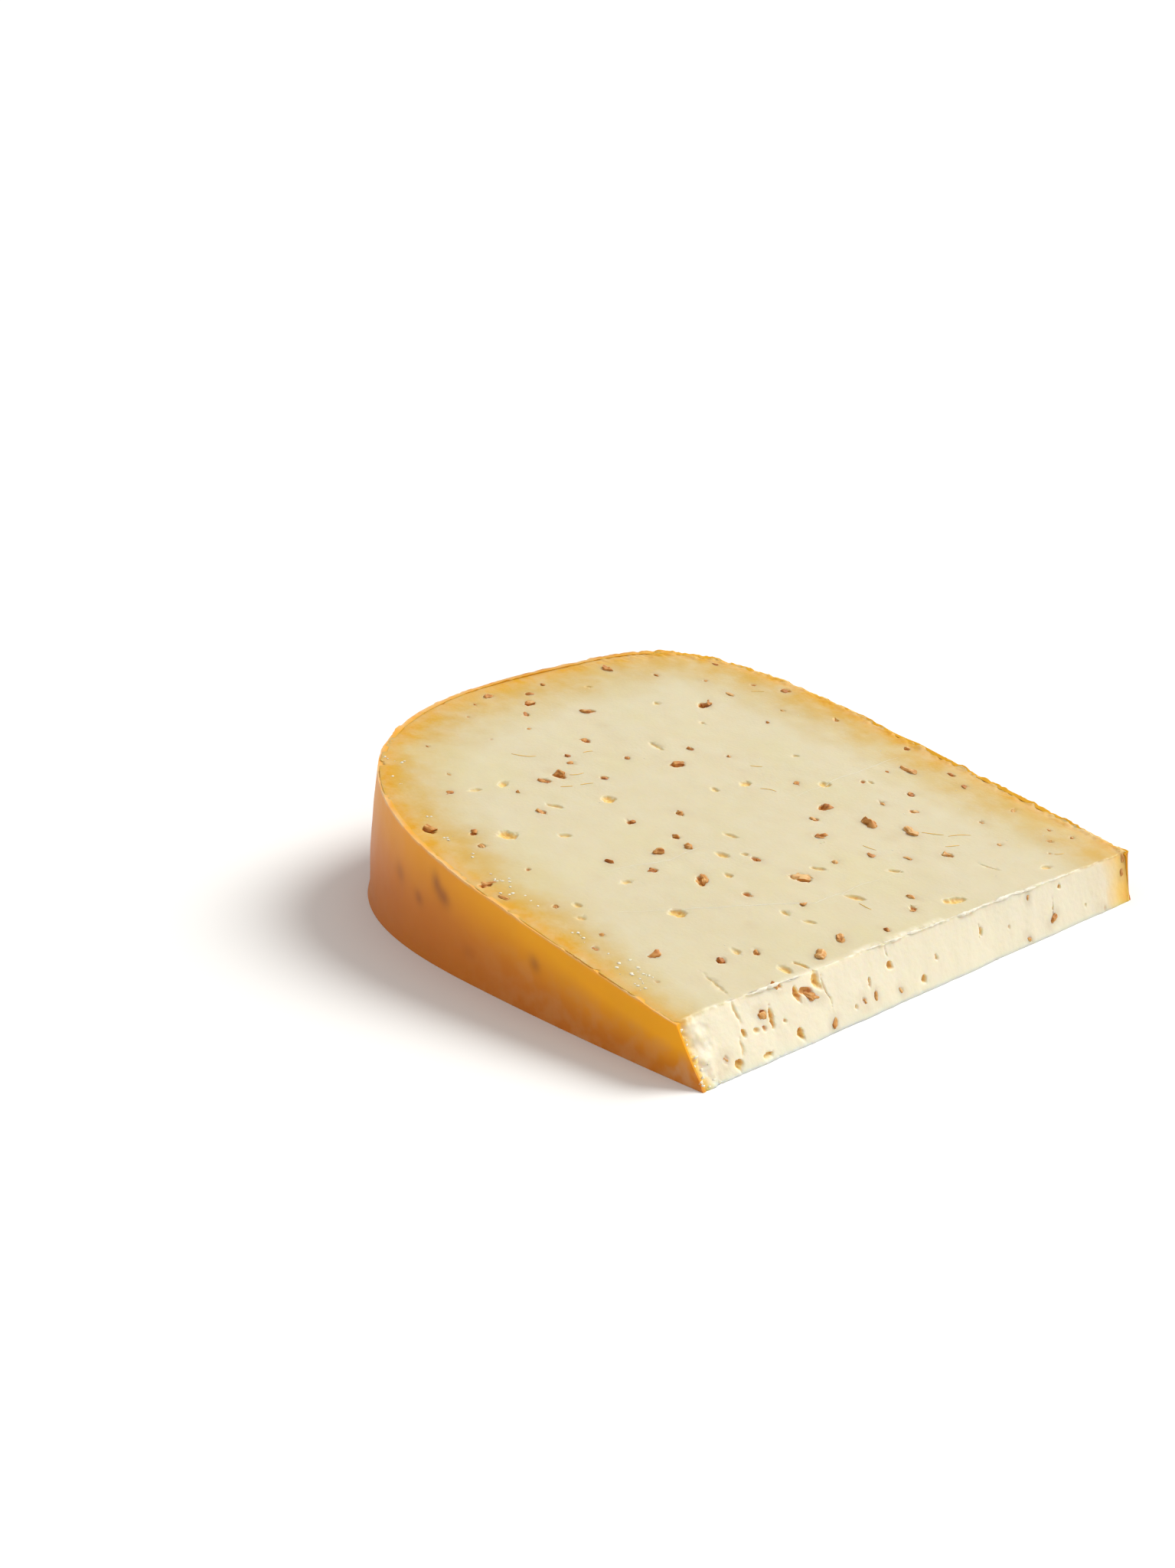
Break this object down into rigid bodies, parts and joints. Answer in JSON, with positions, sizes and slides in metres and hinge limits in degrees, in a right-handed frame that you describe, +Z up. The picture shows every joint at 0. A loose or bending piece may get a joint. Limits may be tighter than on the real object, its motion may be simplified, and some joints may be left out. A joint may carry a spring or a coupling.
{
  "type": "cheese wedge",
  "caption": "Thin wedge of cumin-seeded semi-hard cheese with a waxy orange rind coating, lying flat on one cut face.",
  "frame": {"origin": "centre of the bounding box, on the flat resting face", "axes": "+X from the rounded rim towards the cut-off tip, +Y towards the squarer flat rind, +Z up out of the resting cut face"},
  "size_m": [0.1216, 0.115, 0.0287],
  "materials": {
    "paste": "cream cheese paste, faintly translucent, knife-cut",
    "rind_coating": "orange-brown cheese coating film, glossy",
    "cumin_seed": "dry ridged seed husk, matte"
  },
  "bodies": {
    "root": {"paste": "paste", "rind_coating": "rind_coating", "cumin_seed_01": "cumin_seed", "cumin_seed_02": "cumin_seed", "cumin_seed_03": "cumin_seed", "cumin_seed_04": "cumin_seed", "cumin_seed_05": "cumin_seed", "cumin_seed_06": "cumin_seed", "cumin_seed_07": "cumin_seed", "cumin_seed_08": "cumin_seed", "cumin_seed_09": "cumin_seed", "cumin_seed_10": "cumin_seed", "cumin_seed_11": "cumin_seed", "cumin_seed_12": "cumin_seed", "cumin_seed_13": "cumin_seed", "cumin_seed_14": "cumin_seed", "cumin_seed_15": "cumin_seed", "cumin_seed_16": "cumin_seed", "cumin_seed_17": "cumin_seed", "cumin_seed_18": "cumin_seed", "cumin_seed_19": "cumin_seed", "cumin_seed_20": "cumin_seed", "cumin_seed_21": "cumin_seed", "cumin_seed_22": "cumin_seed", "cumin_seed_23": "cumin_seed", "cumin_seed_24": "cumin_seed", "cumin_seed_25": "cumin_seed", "cumin_seed_26": "cumin_seed", "cumin_seed_27": "cumin_seed", "cumin_seed_28": "cumin_seed", "cumin_seed_29": "cumin_seed", "cumin_seed_30": "cumin_seed", "cumin_seed_31": "cumin_seed", "cumin_seed_32": "cumin_seed", "cumin_seed_33": "cumin_seed", "cumin_seed_34": "cumin_seed", "cumin_seed_35": "cumin_seed", "cumin_seed_36": "cumin_seed", "cumin_seed_37": "cumin_seed", "cumin_seed_38": "cumin_seed", "cumin_seed_39": "cumin_seed", "cumin_seed_40": "cumin_seed", "cumin_seed_41": "cumin_seed", "cumin_seed_42": "cumin_seed", "cumin_seed_43": "cumin_seed", "cumin_seed_44": "cumin_seed"}
  },
  "joints": []
}
